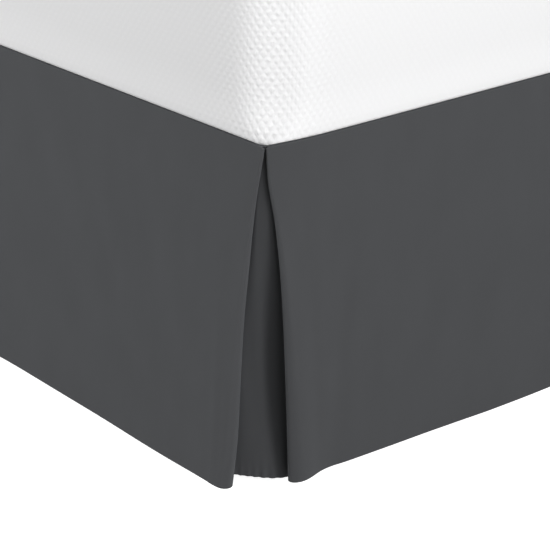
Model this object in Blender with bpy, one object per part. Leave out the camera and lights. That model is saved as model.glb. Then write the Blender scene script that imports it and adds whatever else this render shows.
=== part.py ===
"""Tailored bed skirt with an inverted pleat at each foot corner, on the bed that it dresses.

The skirt is a platform sheet (the deck) pinched between mattress and box spring, three
hemmed drop panels hanging from the deck's edges, and a pleat underlay behind each foot
corner. The bed is plain: a mattress, a box spring and a steel frame on seven legs.

Metres, +Z up. The origin is on the floor under the bed's centre leg, the foot of the bed
faces -Y and the head faces +Y.

Cloth near a foot corner is laid out by two distances in plan. "Along" runs from the corner
along a face of the bed, and "depth" runs from that face into the bed, so a negative depth
stands proud of the face.
"""

import math
from collections import namedtuple

import bmesh
import bpy

# ---------------------------------------------------------------- driving dimensions
CLOTH = 0.0012  # thickness of the skirt's cloth
GAP = 0.0003  # between two pieces that touch

DECK_WIDTH = 1.524
DECK_LENGTH = 2.032
DECK_CORNER = 0.003
DROP = 0.3795  # cut length of a drop panel, below the deck

BOX_INSET = 0.013  # from the deck's edge to the box spring's side
BOX_HEIGHT = 0.2209
BOX_CORNER = 0.085
BOX_EDGE = 0.008

MATTRESS_OVERHANG = 0.001
MATTRESS_HEIGHT = 0.280
MATTRESS_CORNER = 0.060
MATTRESS_BASE_CORNER = 0.004  # at its base, where the cover is pulled down to the deck's corner
MATTRESS_CORNER_GROWTH = 0.013  # height in which most of that difference is made up
MATTRESS_BOTTOM_EDGE = 0.005
MATTRESS_TOP_EDGE = 0.034

RAIL_TOP = 0.178  # where the box spring rests
FLANGE = 0.040  # both flanges of an angle rail
STEEL = 0.003
RAIL_LENGTH = 1.900
RAIL_OUTSIDE = 0.700  # from the middle of the bed to a side rail's outer face
CROSS_BAR_PLACES = {"foot": -0.897, "middle": 0.003, "head": 0.903}
LEG_RADIUS = 0.015
LEG_FROM_RAIL = 0.075
GLIDE_RADIUS = 0.026
GLIDE_TOP_RADIUS = 0.019
GLIDE_HEIGHT = 0.022

BOX_BOTTOM = RAIL_TOP + GAP
BOX_TOP = BOX_BOTTOM + BOX_HEIGHT
DECK_BOTTOM = BOX_TOP + GAP
PANEL_TOP = DECK_BOTTOM - 2 * GAP
MATTRESS_BOTTOM = DECK_BOTTOM + CLOTH + GAP
CROSS_BAR_TOP = RAIL_TOP - STEEL - GAP

FOOT_Y = -DECK_LENGTH / 2
SIDE_X = DECK_WIDTH / 2

# Levels of the cloth, as shares of the drop from the deck (0) to the hem (1).
LEVELS = (0.0, 0.05, 0.11, 0.2, 0.32, 0.45, 0.6, 0.76, 0.9, 1.0)

# How far each pressed fold stands from the foot corner as the pleat opens downwards.
Opening = namedtuple("Opening", "level foot_fold side_fold")
FOLD_OPENING = [
    Opening(0.00, 0.0085, 0.0046),
    Opening(0.05, 0.0115, 0.0064),
    Opening(0.11, 0.0155, 0.0090),
    Opening(0.20, 0.0203, 0.0155),
    Opening(0.35, 0.0256, 0.0235),
    Opening(0.50, 0.0308, 0.0302),
    Opening(0.70, 0.0340, 0.0370),
    Opening(0.85, 0.0361, 0.0415),
    Opening(1.00, 0.0425, 0.0455),
]

# Beside a foot corner the pleat's bulk draws the side edge a little into the bed.
TUCK = 0.0080
TUCK_REACH = 0.085
TUCK_LEVELS = 0.40  # the tuck has faded out this far down

# How each drop panel hangs: its flare at the hem, and how far its hem sags past the drop.
Hang = namedtuple("Hang", "along flare sag")
FOOT_HANG = [
    Hang(0.00, 0.0145, 0.0032),
    Hang(0.12, 0.0135, 0.0025),
    Hang(0.28, 0.0075, 0.0003),
    Hang(0.45, 0.0030, -0.0015),
    Hang(0.64, 0.0055, 0.0006),
    Hang(0.82, 0.0020, -0.0006),
    Hang(1.02, 0.0050, 0.0008),
    Hang(1.22, 0.0030, -0.0004),
    Hang(1.40, 0.0095, 0.0018),
    Hang(1.524, 0.0125, 0.0026),
]
RIGHT_HANG = [
    Hang(0.00, -0.0010, -0.0035),
    Hang(0.10, -0.0018, -0.0030),
    Hang(0.22, 0.0015, -0.0014),
    Hang(0.42, 0.0050, 0.0017),
    Hang(0.66, 0.0020, -0.0006),
    Hang(0.94, 0.0065, 0.0008),
    Hang(1.22, 0.0025, -0.0004),
    Hang(1.52, 0.0060, 0.0006),
    Hang(1.80, 0.0030, -0.0004),
    Hang(2.032, 0.0075, 0.0006),
]
LEFT_HANG = [
    Hang(0.00, 0.0000, -0.0020),
    Hang(0.14, -0.0010, -0.0024),
    Hang(0.30, 0.0035, 0.0004),
    Hang(0.55, 0.0015, -0.0006),
    Hang(0.80, 0.0060, 0.0008),
    Hang(1.08, 0.0030, -0.0002),
    Hang(1.36, 0.0055, 0.0006),
    Hang(1.66, 0.0020, -0.0006),
    Hang(1.88, 0.0050, 0.0004),
    Hang(2.032, 0.0070, 0.0006),
]

# A fold turns the panel back behind its own face. All its sizes grow from the deck to the hem.
Fold = namedtuple("Fold", "opening reach_at_hem half_depth_at_hem ridge return_depth_at_hem")
FOOT_FOLD = Fold("foot_fold", 0.0105, 0.0090, 0.0, 0.0010)
SIDE_FOLD = Fold("side_fold", 0.0135, 0.0080, 0.0062, 0.0050)
FOLD_AT_DECK = 0.0010  # both radii of a fold where it is pinched under the deck
FOLD_GROWTH = 1.2
RIDGE_WIDTH = 0.034  # a soft ridge stands along the side panels' folds
RIDGE_GROWTH = 1.5
FOLD_SEGMENTS = 6
RETURN_END_AT_DECK = 0.095
RETURN_END_AT_HEM = 0.115
RETURN_COLUMNS = 5
BEFORE_FACE = RETURN_COLUMNS + FOLD_SEGMENTS  # columns before a face's first one

# The underlay's course in plan round a foot corner, from behind the foot panel's return to
# behind the side panel's. Each point is given by its distances from the side's face and the
# foot's, at five levels from the deck to the hem.
LEVELS_OF_COURSE = (0.0, 0.2, 0.6, 0.8, 1.0)
PleatPoint = namedtuple(
    "PleatPoint",
    "deck_side deck_foot high_side high_foot mid_side mid_foot low_side low_foot hem_side hem_foot",
)
UNDERLAY = [
    PleatPoint(0.1000, 0.0043, 0.1008, 0.0043, 0.1060, 0.0038, 0.1130, 0.0032, 0.1200, 0.0027),
    PleatPoint(0.0680, 0.0043, 0.0700, 0.0045, 0.0760, 0.0058, 0.0820, 0.0064, 0.0880, 0.0070),
    PleatPoint(0.0480, 0.0044, 0.0500, 0.0048, 0.0600, 0.0077, 0.0650, 0.0098, 0.0680, 0.0115),
    PleatPoint(0.0310, 0.0046, 0.0340, 0.0049, 0.0500, 0.0125, 0.0530, 0.0160, 0.0530, 0.0195),
    PleatPoint(0.0180, 0.0053, 0.0245, 0.0058, 0.0430, 0.0185, 0.0440, 0.0240, 0.0390, 0.0300),
    PleatPoint(0.0136, 0.0068, 0.0200, 0.0086, 0.0360, 0.0260, 0.0360, 0.0330, 0.0295, 0.0380),
    PleatPoint(0.0109, 0.0142, 0.0132, 0.0156, 0.0325, 0.0355, 0.0325, 0.0415, 0.0230, 0.0460),
    PleatPoint(0.0100, 0.0290, 0.0094, 0.0270, 0.0220, 0.0475, 0.0250, 0.0520, 0.0190, 0.0550),
    PleatPoint(0.0080, 0.0440, 0.0086, 0.0415, 0.0145, 0.0595, 0.0180, 0.0640, 0.0170, 0.0680),
    PleatPoint(0.0060, 0.0580, 0.0072, 0.0590, 0.0108, 0.0720, 0.0140, 0.0780, 0.0145, 0.0815),
    PleatPoint(0.0046, 0.0760, 0.0054, 0.0790, 0.0081, 0.0880, 0.0100, 0.0930, 0.0112, 0.0985),
    PleatPoint(0.0043, 0.1000, 0.0044, 0.1010, 0.0052, 0.1070, 0.0060, 0.1130, 0.0069, 0.1200),
]
UNDERLAY_STEPS = 2

# Columns of a panel's face: close together beside a fold, then at an even pitch.
NEAR_COLUMNS = (0.0, 0.010, 0.022, 0.036, 0.052, 0.069, 0.088, 0.140, 0.200, 0.270)
COLUMN_PITCH = 0.085
FOLLOWS_FOLD = 0.250  # beyond this a column no longer shifts with the fold's opening


# ---------------------------------------------------------------- small sums
def ease(share):
    """0 to 1 with level ends."""
    share = min(max(share, 0.0), 1.0)
    return share * share * (3 - 2 * share)


def mix(a, b, share):
    return a + (b - a) * share


def smooth_value(places, values, at):
    """The value at a place, along a smooth curve through the values at the given places."""
    at = min(max(at, places[0]), places[-1])
    i = max(k for k in range(len(places) - 1) if places[k] <= at)

    def slope(k):
        low, high = max(k - 1, 0), min(k + 1, len(places) - 1)
        return (values[high] - values[low]) / (places[high] - places[low])

    width = places[i + 1] - places[i]
    s = (at - places[i]) / width
    return (
        (2 * s**3 - 3 * s**2 + 1) * values[i]
        + (s**3 - 2 * s**2 + s) * slope(i) * width
        + (3 * s**2 - 2 * s**3) * values[i + 1]
        + (s**3 - s**2) * slope(i + 1) * width
    )


def read_table(rows, at, column):
    """A column's value at a place in the first one."""
    return smooth_value([row[0] for row in rows], [getattr(row, column) for row in rows], at)


def smooth_course(points, steps):
    """Plan points along a smooth curve through the given ones, with that many steps between two."""
    course = []
    for i in range(len(points) - 1):
        before, a = points[max(i - 1, 0)], points[i]
        b, after = points[i + 1], points[min(i + 2, len(points) - 1)]
        for k in range(steps):
            s = k / steps
            course.append(
                tuple(
                    a[n]
                    + (b[n] - before[n]) * s / 2
                    + (2 * before[n] - 5 * a[n] + 4 * b[n] - after[n]) * s**2 / 2
                    + (3 * a[n] - before[n] - 3 * b[n] + after[n]) * s**3 / 2
                    for n in (0, 1)
                )
            )
    course.append(points[-1])
    return course


# ---------------------------------------------------------------- materials and objects
def material(name, colour, roughness, metallic=0.0):
    made = bpy.data.materials.new(name)
    made.use_nodes = True
    shader = made.node_tree.nodes["Principled BSDF"]
    shader.inputs["Base Color"].default_value = (*colour, 1.0)
    shader.inputs["Roughness"].default_value = roughness
    shader.inputs["Metallic"].default_value = metallic
    return made


def clear_scene():
    for old in list(bpy.data.objects):
        bpy.data.objects.remove(old)


def mesh_object(name, points, faces, finish):
    mesh = bpy.data.meshes.new(name)
    mesh.from_pydata(points, [], faces)
    mesh.materials.append(finish)
    made = bpy.data.objects.new(name, mesh)
    bpy.context.scene.collection.objects.link(made)
    return made


def cloth_object(name, rows, finish):
    """A sheet from its middle surface, given as rows of points from the deck to the hem."""
    count = len(rows[0])
    points = [point for row in rows for point in row]
    faces = []
    for j in range(len(rows) - 1):
        for i in range(count - 1):
            corner = j * count + i
            faces.append((corner, corner + 1, corner + count + 1, corner + count))
    made = mesh_object(name, points, faces, finish)
    made.data.shade_smooth()
    thickness = made.modifiers.new("Thickness", "SOLIDIFY")
    thickness.thickness = CLOTH
    thickness.offset = 0
    thickness.use_even_offset = True
    return made


def near_foot_corner(along):
    """1 at a foot corner, and 0 from the tuck's reach on, by distance along the side."""
    return min(max(1 - along / TUCK_REACH, 0.0), 1.2) ** 2


def block_outline(half_x, half_y, radius, tuck=0.0, segments=6, side_steps=4):
    """A rounded rectangle in plan, whose sides are drawn in at the foot corners."""
    side_ends = [mix(radius, TUCK_REACH, k / side_steps) for k in range(1, side_steps + 1)]
    outline = []
    for quarter, (sx, sy) in enumerate(((1, -1), (1, 1), (-1, 1), (-1, -1))):
        for k in range(segments + 1):
            angle = math.radians(90 * (quarter - 1 + k / segments))
            x = sx * (half_x - radius) + radius * math.cos(angle)
            y = sy * (half_y - radius) + radius * math.sin(angle)
            outline.append((x, y))
        if quarter == 0:
            outline += [(half_x, along - half_y) for along in side_ends]
        if quarter == 2:
            outline += [(-half_x, along - half_y) for along in reversed(side_ends)]
    return [
        (x - tuck * near_foot_corner(y + half_y) * (x / half_x) ** 9, y) for x, y in outline
    ]


def stacked_block(name, half_x, half_y, layers, finish):
    """A block of outlines, one for each layer's (height, distance drawn in, corner, tuck)."""
    points, faces = [], []
    for height, drawn_in, corner, tuck in layers:
        ring = block_outline(half_x - drawn_in, half_y - drawn_in, corner, tuck)
        points += [(x, y, height) for x, y in ring]
    count = len(ring)
    for low in range(0, len(points) - count, count):
        for i in range(count):
            j = (i + 1) % count
            faces.append((low + i, low + j, low + count + j, low + count + i))
    faces.append(tuple(reversed(range(count))))
    faces.append(tuple(range(len(points) - count, len(points))))
    made = mesh_object(name, points, faces, finish)
    made.data.shade_smooth()
    made.data.set_sharp_from_angle(angle=math.radians(40))
    return made


def rounded_layers(bottom, top, bottom_edge, top_edge, steps=4):
    """Heights and draw-ins of a block's side, rounded at its bottom and top edges."""
    lower, upper = [], []
    for k in range(steps + 1):
        angle = math.radians(90 * k / steps)
        in_share, up_share = 1 - math.sin(angle), 1 - math.cos(angle)
        lower.append((bottom + bottom_edge * up_share, bottom_edge * in_share))
        upper.append((top - top_edge * in_share, top_edge * up_share))
    return lower + upper


def angle_bar(name, length, finish, place, turn):
    """An angle rail along its own Y, its level flange on top and its upright flange at +X."""
    half = length / 2
    section = (
        (0, 0),
        (0, -STEEL),
        (FLANGE - STEEL, -STEEL),
        (FLANGE - STEEL, -FLANGE),
        (FLANGE, -FLANGE),
        (FLANGE, 0),
    )
    count = len(section)
    points = [(x, -half, z) for x, z in section] + [(x, half, z) for x, z in section]
    faces = [tuple(range(count)), tuple(reversed(range(count, 2 * count)))]
    for i in range(count):
        j = (i + 1) % count
        faces.append((i, count + i, count + j, j))
    made = mesh_object(name, points, faces, finish)
    made.location = place
    made.rotation_euler.z = math.radians(turn)
    return made


def round_post(name, bottom_radius, top_radius, bottom, top, x, y, finish, segments=16):
    mesh = bpy.data.meshes.new(name)
    shape = bmesh.new()
    bmesh.ops.create_cone(
        shape,
        cap_ends=True,
        segments=segments,
        radius1=bottom_radius,
        radius2=top_radius,
        depth=top - bottom,
    )
    shape.to_mesh(mesh)
    shape.free()
    mesh.materials.append(finish)
    mesh.shade_smooth()
    mesh.set_sharp_from_angle(angle=math.radians(40))
    made = bpy.data.objects.new(name, mesh)
    made.location = (x, y, (bottom + top) / 2)
    bpy.context.scene.collection.objects.link(made)
    return made


# ---------------------------------------------------------------- how the skirt hangs
def cloth_height(level, sag, is_face=False):
    """Height of a drop panel at a level. The hem's sag fades out towards the deck.

    A face's top edge stands in front of the deck's edge, up to its top.
    """
    if is_face and level == 0:
        return DECK_BOTTOM + CLOTH
    return PANEL_TOP - DROP * level - sag * level**2


def side_tuck(along, level):
    """How far a side edge beside a foot corner is drawn into the bed."""
    return TUCK * near_foot_corner(along) * (1 - ease(level / TUCK_LEVELS))


def column_places(reach):
    """Places of a face's columns from its fold's turn to its reach."""
    span = reach - NEAR_COLUMNS[-1]
    count = round(span / COLUMN_PITCH)
    return list(NEAR_COLUMNS) + [reach - span * (1 - k / count) for k in range(1, count + 1)]


def panel_course(fold, flare, level, reach, tucked=False):
    """(along, depth) at one level: from the return's end, round the fold, then along the face."""

    def tuck(along):
        return side_tuck(along, level) if tucked else 0.0

    reach_out = mix(FOLD_AT_DECK, fold.reach_at_hem, level**FOLD_GROWTH)
    half_depth = mix(FOLD_AT_DECK, fold.half_depth_at_hem, level**FOLD_GROWTH)
    turn = read_table(FOLD_OPENING, level, fold.opening) + reach_out

    def face_depth(along):
        beside_fold = 1 - ease((along - turn) / RIDGE_WIDTH)
        ridge = fold.ridge * level**RIDGE_GROWTH * beside_fold
        return CLOTH / 2 - flare(along) * level - ridge + tuck(along)

    face = face_depth(turn)
    end_along = mix(RETURN_END_AT_DECK, RETURN_END_AT_HEM, level)
    end_depth = mix(CLOTH / 2 + 2 * FOLD_AT_DECK, fold.return_depth_at_hem, level**2)
    course = []
    for k in range(RETURN_COLUMNS):
        share = k / RETURN_COLUMNS
        along = mix(end_along, turn, share)
        depth = mix(end_depth, face + 2 * half_depth, share**2)
        course.append((along, depth + tuck(along) - tuck(turn) * share**2))
    for k in range(FOLD_SEGMENTS):
        angle = math.pi * k / FOLD_SEGMENTS
        depth = face + half_depth * (1 + math.cos(angle))
        course.append((turn - reach_out * math.sin(angle), depth))
    for place in column_places(reach):
        along = place + turn * (1 - ease(place / FOLLOWS_FOLD))
        course.append((along, face_depth(along)))
    return course


def foot_panel(finish):
    """The panel across the foot of the bed, with a fold at both corners."""
    rows = []
    for level in LEVELS:
        halves = []
        for mirrored in (False, True):

            def from_right(along, mirrored=mirrored):
                return DECK_WIDTH - along if mirrored else along

            def flare(along, from_right=from_right):
                return read_table(FOOT_HANG, from_right(along), "flare")

            course = panel_course(FOOT_FOLD, flare, level, DECK_WIDTH / 2)
            halves.append([(from_right(along), depth) for along, depth in course])
        right, left = halves
        row = []
        course = right + left[-2::-1]
        for i, (along, depth) in enumerate(course):
            sag = read_table(FOOT_HANG, along, "sag")
            is_face = BEFORE_FACE <= i < len(course) - BEFORE_FACE
            row.append((SIDE_X - along, FOOT_Y + depth, cloth_height(level, sag, is_face)))
        rows.append(row)
    return cloth_object("skirt_foot_panel", rows, finish)


def side_panel(name, side, hang, finish):
    """A panel along a side of the bed, with a fold at the foot corner only."""
    rows = []
    for level in LEVELS:
        course = panel_course(
            SIDE_FOLD, lambda along: read_table(hang, along, "flare"), level, DECK_LENGTH, True
        )
        row = []
        for i, (along, depth) in enumerate(course):
            sag = read_table(hang, along, "sag")
            height = cloth_height(level, sag, i >= BEFORE_FACE)
            row.append((side * (SIDE_X - depth), FOOT_Y + along, height))
        rows.append(row)
    return cloth_object(name, rows, finish)


def pleat_underlay(name, side, finish):
    """The sheet behind a foot corner's open pleat: tight round the corner, slack at the hem."""
    rows = []
    for level in LEVELS:
        plan = []
        for point in UNDERLAY:
            from_side = smooth_value(LEVELS_OF_COURSE, point[0::2], level)
            plan.append((from_side, smooth_value(LEVELS_OF_COURSE, point[1::2], level)))
        height = cloth_height(level, 0.0)
        rows.append(
            [
                (side * (SIDE_X - from_side), FOOT_Y + from_foot, height)
                for from_side, from_foot in smooth_course(plan, UNDERLAY_STEPS)
            ]
        )
    return cloth_object(name, rows, finish)


def deck(finish):
    inset = CLOTH + 1.5 * GAP
    layers = [(DECK_BOTTOM + up, inset, DECK_CORNER, TUCK) for up in (0.0, CLOTH)]
    return stacked_block("skirt_deck", SIDE_X, -FOOT_Y, layers, finish)


# ---------------------------------------------------------------- the bed
def mattress(finish):
    sides = rounded_layers(0.0, MATTRESS_HEIGHT, MATTRESS_BOTTOM_EDGE, MATTRESS_TOP_EDGE)
    sides += [(up, 0.0) for up in (0.010, 0.018, 0.030, 0.050, 0.080)]
    layers = []
    for up, drawn_in in sorted(sides):
        growth = 1 - math.exp(-up / MATTRESS_CORNER_GROWTH)
        corner = mix(MATTRESS_BASE_CORNER, MATTRESS_CORNER, growth)
        layers.append((MATTRESS_BOTTOM + up, drawn_in, corner, TUCK * (1 - growth)))
    half_x, half_y = SIDE_X + MATTRESS_OVERHANG, -FOOT_Y + MATTRESS_OVERHANG
    return stacked_block("mattress", half_x, half_y, layers, finish)


def box_spring(finish):
    sides = rounded_layers(BOX_BOTTOM, BOX_TOP, BOX_EDGE, BOX_EDGE)
    layers = [(height, drawn_in, BOX_CORNER, 0.0) for height, drawn_in in sides]
    half_x, half_y = SIDE_X - BOX_INSET, -FOOT_Y - BOX_INSET
    return stacked_block("box_spring", half_x, half_y, layers, finish)


def bed_frame(steel, plastic):
    """Two side rails on three cross bars, and seven legs that end in glides."""
    inner = RAIL_OUTSIDE - FLANGE
    angle_bar("side_rail_right", RAIL_LENGTH, steel, (inner, 0, RAIL_TOP), 0)
    angle_bar("side_rail_left", RAIL_LENGTH, steel, (-inner, 0, RAIL_TOP), 180)
    bar_length = 2 * (RAIL_OUTSIDE - STEEL - GAP)
    leg_x = RAIL_OUTSIDE - LEG_FROM_RAIL
    for place, y in CROSS_BAR_PLACES.items():
        bar_edge = (0, y - FLANGE / 2, CROSS_BAR_TOP)
        angle_bar(f"cross_bar_{place}", bar_length, steel, bar_edge, 90)
        leg_y = y - STEEL
        legs = {"right": leg_x, "left": -leg_x}
        if place == "middle":
            legs["centre"] = 0.0
        for where, x in legs.items():
            round_post(
                f"leg_{place}_{where}",
                LEG_RADIUS,
                LEG_RADIUS,
                GLIDE_HEIGHT + GAP,
                CROSS_BAR_TOP - STEEL - GAP,
                x,
                leg_y,
                steel,
            )
            round_post(
                f"glide_{place}_{where}",
                GLIDE_RADIUS,
                GLIDE_TOP_RADIUS,
                0.0,
                GLIDE_HEIGHT,
                x,
                leg_y,
                plastic,
            )


def main():
    clear_scene()
    charcoal = material("charcoal_microfibre", (0.075, 0.077, 0.081), 0.85)
    knit = material("white_mattress_knit", (0.84, 0.85, 0.87), 0.80)
    ticking = material("box_spring_ticking", (0.62, 0.62, 0.61), 0.85)
    steel = material("black_frame_steel", (0.03, 0.03, 0.032), 0.45, 0.6)
    plastic = material("black_glide_plastic", (0.02, 0.02, 0.02), 0.50)
    bed_frame(steel, plastic)
    box_spring(ticking)
    deck(charcoal)
    foot_panel(charcoal)
    side_panel("skirt_side_panel_right", 1, RIGHT_HANG, charcoal)
    side_panel("skirt_side_panel_left", -1, LEFT_HANG, charcoal)
    pleat_underlay("corner_pleat_right", 1, charcoal)
    pleat_underlay("corner_pleat_left", -1, charcoal)
    mattress(knit)


main()
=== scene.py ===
"""Looks of a tailored bed skirt with inverted corner pleats, on the bed that it dresses.

Every length is in metres. Cloth near a foot corner is laid out by two distances in plan:
"along" runs from the corner along a face of the bed, and "depth" runs from that face into
the bed, so a negative depth stands proud of the face. A "level" is a share of the drop,
from the deck (0) to the hem (1).
"""

import math
from collections import namedtuple

import bpy
import numpy as np
from mathutils import Matrix, Vector


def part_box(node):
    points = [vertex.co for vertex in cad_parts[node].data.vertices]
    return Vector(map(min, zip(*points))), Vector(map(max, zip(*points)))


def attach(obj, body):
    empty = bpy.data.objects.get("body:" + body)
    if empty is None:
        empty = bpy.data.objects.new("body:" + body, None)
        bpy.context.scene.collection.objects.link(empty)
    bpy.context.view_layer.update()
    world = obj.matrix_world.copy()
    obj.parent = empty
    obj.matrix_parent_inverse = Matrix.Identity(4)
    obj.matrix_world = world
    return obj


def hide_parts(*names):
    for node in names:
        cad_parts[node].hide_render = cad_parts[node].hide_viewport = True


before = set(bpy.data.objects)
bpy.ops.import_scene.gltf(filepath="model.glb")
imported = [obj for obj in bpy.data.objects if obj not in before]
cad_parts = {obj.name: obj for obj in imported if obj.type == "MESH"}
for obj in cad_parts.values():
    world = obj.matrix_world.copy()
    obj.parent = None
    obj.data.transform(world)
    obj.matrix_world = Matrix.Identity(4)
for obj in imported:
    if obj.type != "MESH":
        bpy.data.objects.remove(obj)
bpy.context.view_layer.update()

bl_info = {
    "name": "Tailored Bed Skirt",
    "version": (1, 0, 0),
    "blender": (4, 5, 0),
    "location": "3D View > Sidebar > Bed Skirt",
    "description": "Builds a pleated bed skirt on its bed, with cloth, knit and metal finishes",
    "category": "Add Mesh",
}

# ---------------------------------------------------------------- sizes from the frame
DECK_LOW, DECK_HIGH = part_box("skirt_deck")
MATTRESS_LOW, MATTRESS_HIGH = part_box("mattress")
BOX_LOW, BOX_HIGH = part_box("box_spring")

CLOTH = 0.0012  # thickness of the skirt's cloth
GAP = 0.0003  # between two pieces that touch
DECK_INSET = CLOTH + 1.5 * GAP  # the deck's edge ends behind the drop panels' cloth
SIDE_X = DECK_HIGH.x + DECK_INSET
FOOT_Y = DECK_LOW.y - DECK_INSET
WIDTH = DECK_HIGH.x - DECK_LOW.x + 2 * DECK_INSET
LENGTH = DECK_HIGH.y - DECK_LOW.y + 2 * DECK_INSET
PANEL_TOP = DECK_LOW.z - 2 * GAP

# ---------------------------------------------------------------- how the cloth hangs
# How far each pressed fold stands from the foot corner as the pleat opens downwards.
Opening = namedtuple("Opening", "level foot_fold side_fold")
FOLD_OPENING = [
    Opening(0.00, 0.0085, 0.0046),
    Opening(0.05, 0.0115, 0.0064),
    Opening(0.11, 0.0155, 0.0090),
    Opening(0.20, 0.0203, 0.0155),
    Opening(0.35, 0.0256, 0.0235),
    Opening(0.50, 0.0308, 0.0302),
    Opening(0.70, 0.0340, 0.0370),
    Opening(0.85, 0.0361, 0.0415),
    Opening(1.00, 0.0425, 0.0455),
]

# How each drop panel hangs: its flare at the hem, and how far its hem sags past the drop.
Hang = namedtuple("Hang", "along flare sag")
FOOT_HANG = [
    Hang(0.00, 0.0145, 0.0032),
    Hang(0.12, 0.0135, 0.0025),
    Hang(0.28, 0.0075, 0.0003),
    Hang(0.45, 0.0030, -0.0015),
    Hang(0.64, 0.0055, 0.0006),
    Hang(0.82, 0.0020, -0.0006),
    Hang(1.02, 0.0050, 0.0008),
    Hang(1.22, 0.0030, -0.0004),
    Hang(1.40, 0.0095, 0.0018),
    Hang(1.524, 0.0125, 0.0026),
]
RIGHT_HANG = [
    Hang(0.00, -0.0010, -0.0035),
    Hang(0.10, -0.0018, -0.0030),
    Hang(0.22, 0.0015, -0.0014),
    Hang(0.42, 0.0050, 0.0017),
    Hang(0.66, 0.0020, -0.0006),
    Hang(0.94, 0.0065, 0.0008),
    Hang(1.22, 0.0025, -0.0004),
    Hang(1.52, 0.0060, 0.0006),
    Hang(1.80, 0.0030, -0.0004),
    Hang(2.032, 0.0075, 0.0006),
]
LEFT_HANG = [
    Hang(0.00, 0.0000, -0.0020),
    Hang(0.14, -0.0010, -0.0024),
    Hang(0.30, 0.0035, 0.0004),
    Hang(0.55, 0.0015, -0.0006),
    Hang(0.80, 0.0060, 0.0008),
    Hang(1.08, 0.0030, -0.0002),
    Hang(1.36, 0.0055, 0.0006),
    Hang(1.66, 0.0020, -0.0006),
    Hang(1.88, 0.0050, 0.0004),
    Hang(2.032, 0.0070, 0.0006),
]

# A fold turns the panel back behind its own face. All its sizes grow from the deck to the hem.
Fold = namedtuple("Fold", "opening reach_at_hem half_depth_at_hem ridge return_depth_at_hem")
FOOT_FOLD = Fold("foot_fold", 0.0105, 0.0090, 0.0, 0.0010)
SIDE_FOLD = Fold("side_fold", 0.0135, 0.0080, 0.0062, 0.0050)
FOLD_AT_DECK = 0.0010
FOLD_GROWTH = 1.2
RIDGE_WIDTH = 0.034
RIDGE_GROWTH = 1.5
RETURN_END_AT_DECK = 0.095
RETURN_END_AT_HEM = 0.115
FOLLOWS_FOLD = 0.250  # beyond this a column no longer shifts with the fold's opening

# Beside the foot corners the side edges of deck and panels are tucked in under the mattress.
TUCK = 0.0080
TUCK_REACH = 0.085
TUCK_LEVELS = 0.40  # the tuck has faded out this far down

# The underlay's course in plan round a foot corner, from behind the foot panel's return to
# behind the side panel's. Each point is given by its distances from the side's face and the
# foot's, at five levels: it is tight at the deck, sags into a pocket below the middle, and
# swings out again to the hem.
LEVELS_OF_COURSE = (0.0, 0.2, 0.6, 0.8, 1.0)
PleatPoint = namedtuple(
    "PleatPoint",
    "deck_side deck_foot high_side high_foot mid_side mid_foot low_side low_foot hem_side hem_foot",
)
UNDERLAY = [
    PleatPoint(0.1000, 0.0043, 0.1008, 0.0043, 0.1060, 0.0038, 0.1130, 0.0032, 0.1200, 0.0027),
    PleatPoint(0.0680, 0.0043, 0.0700, 0.0045, 0.0760, 0.0058, 0.0820, 0.0064, 0.0880, 0.0070),
    PleatPoint(0.0480, 0.0044, 0.0500, 0.0048, 0.0600, 0.0077, 0.0650, 0.0098, 0.0680, 0.0115),
    PleatPoint(0.0310, 0.0046, 0.0340, 0.0049, 0.0500, 0.0125, 0.0530, 0.0160, 0.0530, 0.0195),
    PleatPoint(0.0180, 0.0053, 0.0245, 0.0058, 0.0430, 0.0185, 0.0440, 0.0240, 0.0390, 0.0300),
    PleatPoint(0.0136, 0.0068, 0.0200, 0.0086, 0.0360, 0.0260, 0.0360, 0.0330, 0.0295, 0.0380),
    PleatPoint(0.0109, 0.0142, 0.0132, 0.0156, 0.0325, 0.0355, 0.0325, 0.0415, 0.0230, 0.0460),
    PleatPoint(0.0100, 0.0290, 0.0094, 0.0270, 0.0220, 0.0475, 0.0250, 0.0520, 0.0190, 0.0550),
    PleatPoint(0.0080, 0.0440, 0.0086, 0.0415, 0.0145, 0.0595, 0.0180, 0.0640, 0.0170, 0.0680),
    PleatPoint(0.0060, 0.0580, 0.0072, 0.0590, 0.0108, 0.0720, 0.0140, 0.0780, 0.0145, 0.0815),
    PleatPoint(0.0046, 0.0760, 0.0054, 0.0790, 0.0081, 0.0880, 0.0100, 0.0930, 0.0112, 0.0985),
    PleatPoint(0.0043, 0.1000, 0.0044, 0.1010, 0.0052, 0.1070, 0.0060, 0.1130, 0.0069, 0.1200),
]

# Soft creases pressed or pulled into a panel's face. Each is a straight line on the face
# with a round section: a positive height is a ridge, and a negative one is a trough.
Crease = namedtuple("Crease", "along level to_along to_level half_width height")
FOOT_CREASES = [
    Crease(0.300, 0.22, 0.245, 0.52, 0.016, -0.0009),
    Crease(0.205, 0.12, 0.165, 0.48, 0.014, -0.0008),
    Crease(0.400, 0.10, 0.330, 0.45, 0.022, -0.0008),
    Crease(0.330, 0.62, 0.110, 0.92, 0.030, -0.0018),
    Crease(0.200, 0.45, 0.090, 0.80, 0.040, -0.0014),
    Crease(0.062, 0.55, 0.060, 1.00, 0.007, 0.0007),
    Crease(0.620, 0.20, 0.560, 0.85, 0.024, -0.0012),
    Crease(0.820, 0.05, 0.780, 0.60, 0.020, -0.0010),
    Crease(1.060, 0.30, 1.130, 0.95, 0.028, -0.0014),
    Crease(1.290, 0.10, 1.350, 0.70, 0.020, -0.0010),
    Crease(1.455, 0.45, 1.462, 1.00, 0.009, 0.0008),
]
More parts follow.
